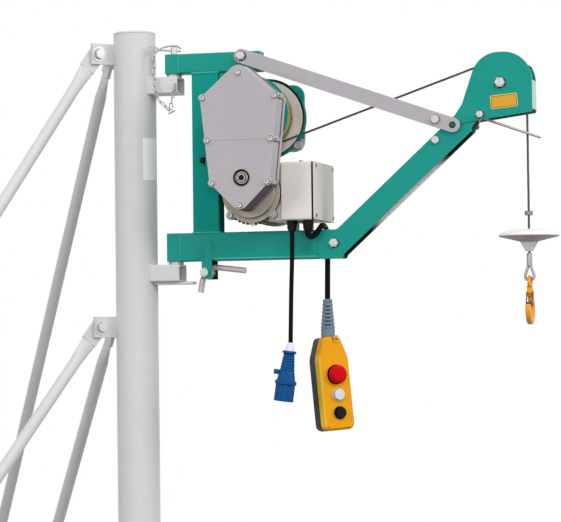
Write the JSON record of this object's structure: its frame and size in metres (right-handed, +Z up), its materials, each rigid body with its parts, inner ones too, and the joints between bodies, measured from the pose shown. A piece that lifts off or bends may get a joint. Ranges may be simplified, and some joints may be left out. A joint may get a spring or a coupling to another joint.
{
  "type": "scaffold hoist",
  "caption": "Scaffold hoist on a braced mast: swinging jib with electric rope winch, raised boom with head sheave, weighted rope hook, control box and hanging push-button pendant.",
  "frame": {"origin": "mast's axis at the underside of its foot plate", "axes": "+X along the jib's reach at rest, +Y away from the gear unit's cover, +Z up the mast"},
  "size_m": [1.5916, 1.5472, 1.3],
  "materials": {
    "post_grey": "satin paint",
    "green_paint": "satin paint",
    "cast_grey": "cast, painted",
    "motor_grey": "ribbed casting",
    "zinc_steel": "zinc plated",
    "tie_grey": "satin paint",
    "rope_steel": "greased wire rope",
    "loop_steel": "pressed ferrule and thimble",
    "drum_steel": "worn paint",
    "sheave_iron": "turned",
    "weight_white": "satin paint",
    "hook_orange": "satin paint",
    "latch_steel": "sheet",
    "gasket_red": "sheet gasket",
    "gasket_black": "sheet gasket",
    "box_grey": "fine grain",
    "black_plastic": "moulded",
    "cord_black": "matt sheath",
    "plug_blue": "moulded",
    "boot_grey": "moulded",
    "pendant_yellow": "moulded",
    "pendant_dark": "moulded",
    "stop_red": "moulded",
    "button_white": "moulded"
  },
  "bodies": {
    "mast": {"mast_tube": "post_grey", "mast_cap": "post_grey", "mast_foot": "post_grey", "base_legs": "post_grey", "leg_pads": "post_grey", "brace_lugs": "post_grey", "upper_braces": "post_grey", "lower_braces": "post_grey", "upper_bracket": "post_grey", "lower_bracket": "post_grey", "hinge_pins": "zinc_steel", "pin_clip": "zinc_steel", "lock_plate": "post_grey"},
    "jib": {"hinge_sleeves": "green_paint", "upper_arm": "green_paint", "lower_arm": "green_paint", "riser": "green_paint", "boom": "green_paint", "knuckle_pin": "zinc_steel", "tie_bars": "tie_grey", "tie_pins": "zinc_steel", "head_housing": "green_paint", "head_pins": "zinc_steel", "hoist_rope": "rope_steel", "rope_stop": "zinc_steel", "hook_weight": "weight_white", "rope_eye": "loop_steel", "gear_case": "cast_grey", "cover_gasket": "gasket_red", "gear_cover": "cast_grey", "winch_plate": "green_paint", "drum_support": "green_paint", "bearing_plate": "cast_grey", "motor_shield": "cast_grey", "motor_body": "motor_grey", "fan_cover": "motor_grey", "control_box": "box_grey", "control_box_lid": "box_grey", "box_gasket": "gasket_black", "box_foot": "tie_grey", "cable_glands": "black_plastic", "lock_bracket": "green_paint", "supply_cord": "cord_black", "supply_plug": "plug_blue", "pendant_cord": "cord_black", "pendant_boot": "boot_grey", "pendant_front": "pendant_yellow", "pendant_back": "pendant_dark"},
    "drum": {"drum": "drum_steel", "wound_rope": "rope_steel"},
    "head_sheave": {"head_sheave": "sheave_iron"},
    "limit_lever": {"limit_lever": "zinc_steel"},
    "hook": {"hook": "hook_orange"},
    "hook_latch": {"hook_latch": "latch_steel"},
    "lock_lever": {"lock_lever": "zinc_steel"},
    "stop_button": {"stop_button": "stop_red"},
    "up_button": {"up_button": "button_white"},
    "down_button": {"down_button": "black_plastic"}
  },
  "joints": [
    {"name": "jib_swing", "type": "hinge", "parent": "mast", "child": "jib", "pos_m": [0.088, 0, 1], "axis": [0, 0, 1], "range_deg": [-90, 90]},
    {"name": "drum_spin", "type": "hinge", "parent": "jib", "child": "drum", "pos_m": [0.274, 0, 1.111], "axis": [0, 1, 0], "continuous": true},
    {"name": "sheave_spin", "type": "hinge", "parent": "jib", "child": "head_sheave", "pos_m": [0.79212, 0, 1.16103], "axis": [0, 1, 0], "continuous": true},
    {"name": "limit_trip", "type": "hinge", "parent": "jib", "child": "limit_lever", "pos_m": [0.74962, 0, 1.09703], "axis": [0, -1, 0], "range_deg": [0, 20]},
    {"name": "hook_swing", "type": "hinge", "parent": "jib", "child": "hook", "pos_m": [0.84312, 0, 0.75289], "axis": [1, 0, 0], "range_deg": [-30, 30]},
    {"name": "latch_open", "type": "hinge", "parent": "hook", "child": "hook_latch", "pos_m": [0.84312, 0, 0.72989], "axis": [1, 0, 0], "range_deg": [0, 30], "stiffness_Nm_per_rad": 0.03, "springref_deg": -17.19},
    {"name": "swing_lock", "type": "hinge", "parent": "jib", "child": "lock_lever", "pos_m": [0.159, 0, 0.785], "axis": [0, 1, 0], "range_deg": [0, 35]},
    {"name": "stop_press", "type": "slide", "parent": "jib", "child": "stop_button", "axis": [-0.6534, 0.7547, -0.0595], "range_m": [0, 0.004], "stiffness_N_per_m": 600, "springref_m": -0.002},
    {"name": "up_press", "type": "slide", "parent": "jib", "child": "up_button", "axis": [-0.6534, 0.7547, -0.0595], "range_m": [0, 0.004], "stiffness_N_per_m": 350, "springref_m": -0.002},
    {"name": "down_press", "type": "slide", "parent": "jib", "child": "down_button", "axis": [-0.6534, 0.7547, -0.0595], "range_m": [0, 0.004], "stiffness_N_per_m": 350, "springref_m": -0.002}
  ],
  "couplings": [
    {"joint": "sheave_spin", "follows": "drum_spin", "ratio": -1.3235}
  ]
}
